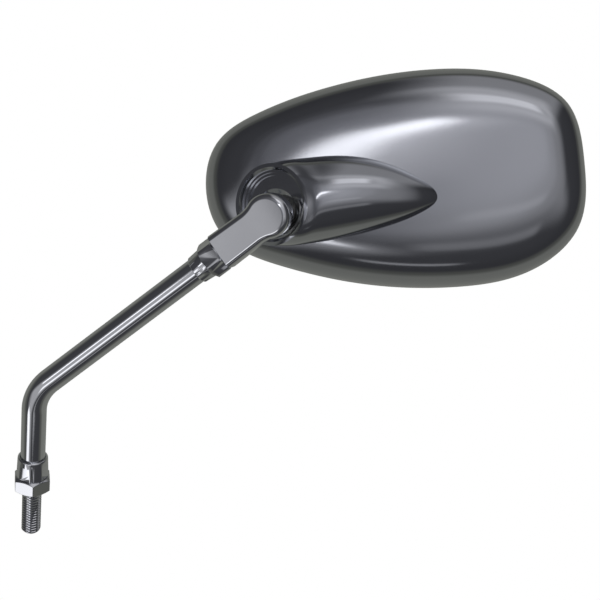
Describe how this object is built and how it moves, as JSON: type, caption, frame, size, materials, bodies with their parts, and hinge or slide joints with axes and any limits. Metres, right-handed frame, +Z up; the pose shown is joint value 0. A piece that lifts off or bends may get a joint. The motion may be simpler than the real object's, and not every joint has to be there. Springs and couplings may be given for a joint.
{
  "type": "motorcycle mirror",
  "caption": "Chromed motorcycle mirror: teardrop head with convex glass on a spring-loaded ball joint, carried by a bent round stem with a threaded foot and lock nut.",
  "frame": {"origin": "on the stud's axis, at the underside of the foot's lock nut, where it meets the handlebar clamp", "axes": "+Z up along the stud; the stem bends towards +X; the head's bright back faces -Y and its glass faces +Y"},
  "size_m": [0.2203, 0.0697, 0.2025],
  "materials": {
    "bright_chrome": "bright chrome plate on steel",
    "shell_chrome": "dark chrome plate on moulded plastic",
    "steel": "zinc plated",
    "nylon": "black nylon, matte",
    "mirror_glass": "silvered convex glass",
    "rubber": "matte",
    "foam": "closed-cell foam",
    "black_plastic": "moulded, matte"
  },
  "bodies": {
    "stem": {"stem_foot": "bright_chrome", "foot_lock_nut": "bright_chrome", "stem_rod": "bright_chrome", "knuckle_lock_nut": "bright_chrome"},
    "knuckle": {"knuckle": "bright_chrome", "ball_stud": "steel"},
    "front_seat": {"front_ball_seat": "nylon"},
    "rear_seat": {"rear_ball_seat": "nylon"},
    "head": {"housing_shell": "shell_chrome", "mirror_glass": "mirror_glass", "rim_gasket": "rubber", "backing_pad": "foam", "backing_plate": "black_plastic", "backing_screws": "steel", "ball_cup": "steel", "cup_spring": "steel", "holder_plate": "steel", "holder_screws": "steel"}
  },
  "joints": [
    {"name": "knuckle_turn", "type": "hinge", "parent": "stem", "child": "knuckle", "pos_m": [0.08556, 0, 0.13196], "axis": [0.7071, 0, 0.7071], "range_deg": [-180, 180]},
    {"name": "head_swivel", "type": "hinge", "parent": "knuckle", "child": "front_seat", "pos_m": [0.0915, 0.01648, 0.12602], "axis": [-0.321, -0.891, 0.321], "range_deg": [-30, 30]},
    {"name": "head_tilt", "type": "hinge", "parent": "front_seat", "child": "rear_seat", "pos_m": [0.0915, 0.01648, 0.12602], "axis": [0.9827, 0.0008, 0.1851], "range_deg": [-10, 10]},
    {"name": "head_pan", "type": "hinge", "parent": "rear_seat", "child": "head", "pos_m": [0.0915, 0.01648, 0.12602], "axis": [-0.163, 0.4776, 0.8633], "range_deg": [-8, 18]}
  ]
}
